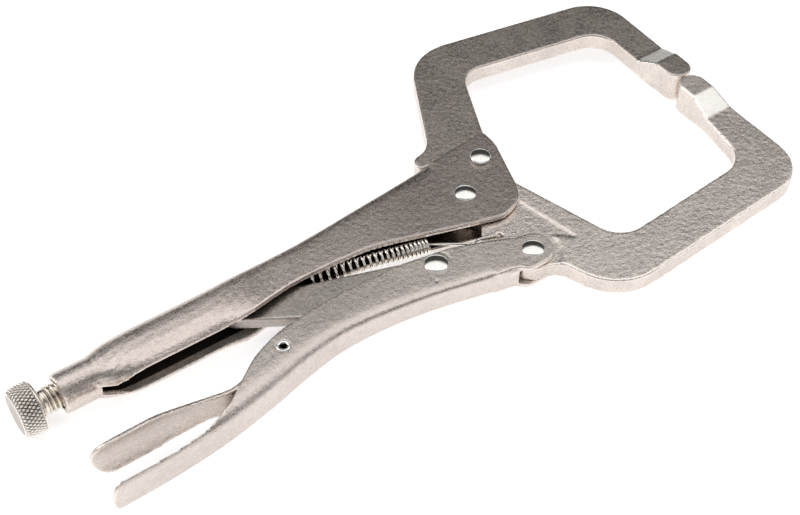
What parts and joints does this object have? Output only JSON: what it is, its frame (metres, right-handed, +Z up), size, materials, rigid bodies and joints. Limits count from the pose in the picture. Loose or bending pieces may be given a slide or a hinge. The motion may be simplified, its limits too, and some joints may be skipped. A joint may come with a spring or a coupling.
{
  "type": "locking pliers",
  "caption": "C-clamp locking pliers with forged curved jaws, sheet-steel handles, a toggle link, a tension spring, a release lever and a knurled adjusting screw.",
  "frame": {"origin": "on the surface the tool lies on, below the middle of its length and width", "axes": "+X along the tool from the adjusting knob to the jaws, +Y from the lever handle side to the fixed handle side, +Z up through the tool's thickness as it lies on its side"},
  "size_m": [0.278, 0.1352, 0.017],
  "materials": {
    "handle_sheet": "satin plated, fine grain",
    "lever_sheet": "satin plated, fine grain",
    "fixed_jaw_steel": "darker forged and plated",
    "moving_jaw_steel": "forged and plated, satin",
    "rivet_steel": "polished head",
    "link_steel": "stamped plate, satin",
    "release_sheet": "satin plated",
    "spring_wire": "bright drawn wire",
    "screw_steel": "rolled thread, plated",
    "knob_steel": "knurled and plated"
  },
  "bodies": {
    "fixed_frame": {"fixed_handle": "handle_sheet", "fixed_jaw": "fixed_jaw_steel", "fixed_jaw_rivet": "rivet_steel", "jaw_pivot_rivet": "rivet_steel", "tension_spring": "spring_wire"},
    "jaw": {"moving_jaw": "moving_jaw_steel"},
    "lever": {"lever_handle": "lever_sheet", "lever_pivot_rivet": "rivet_steel", "link_pivot_rivet": "rivet_steel", "release_pin": "rivet_steel"},
    "link": {"toggle_link": "link_steel"},
    "release": {"release_lever": "release_sheet"},
    "screw": {"adjusting_screw": "screw_steel"},
    "knob": {"adjusting_knob": "knob_steel"}
  },
  "joints": [
    {"name": "jaw_hinge", "type": "hinge", "parent": "fixed_frame", "child": "jaw", "pos_m": [0.02884, -0.00426, 0.0085], "axis": [0, 0, -1], "range_deg": [0, 30], "deforming": ["tension_spring"]},
    {"name": "lever_hinge", "type": "hinge", "parent": "jaw", "child": "lever", "pos_m": [0.03234, -0.03775, 0.0085], "axis": [0, 0, 1], "range_deg": [0, 80]},
    {"name": "link_hinge", "type": "hinge", "parent": "lever", "child": "link", "pos_m": [0.00164, -0.02506, 0.0085], "axis": [0, 0, -1], "range_deg": [0, 74]},
    {"name": "release_hinge", "type": "hinge", "parent": "lever", "child": "release", "pos_m": [-0.05936, -0.02805, 0.0085], "axis": [0, 0, 1], "range_deg": [0, 6]},
    {"name": "screw_slide", "type": "slide", "parent": "fixed_frame", "child": "screw", "axis": [-1, 0, 0], "range_m": [0, 0.012]},
    {"name": "knob_turn", "type": "hinge", "parent": "screw", "child": "knob", "pos_m": [-0.13496, 0.00024, 0.0085], "axis": [-1, 0, 0], "range_deg": [0, 2701]}
  ],
  "couplings": [
    {"joint": "lever_hinge", "follows": "jaw_hinge", "ratio": 2.6623},
    {"joint": "link_hinge", "follows": "jaw_hinge", "ratio": 2.4573},
    {"joint": "knob_turn", "follows": "screw_slide", "rad_per_m": 3927}
  ]
}
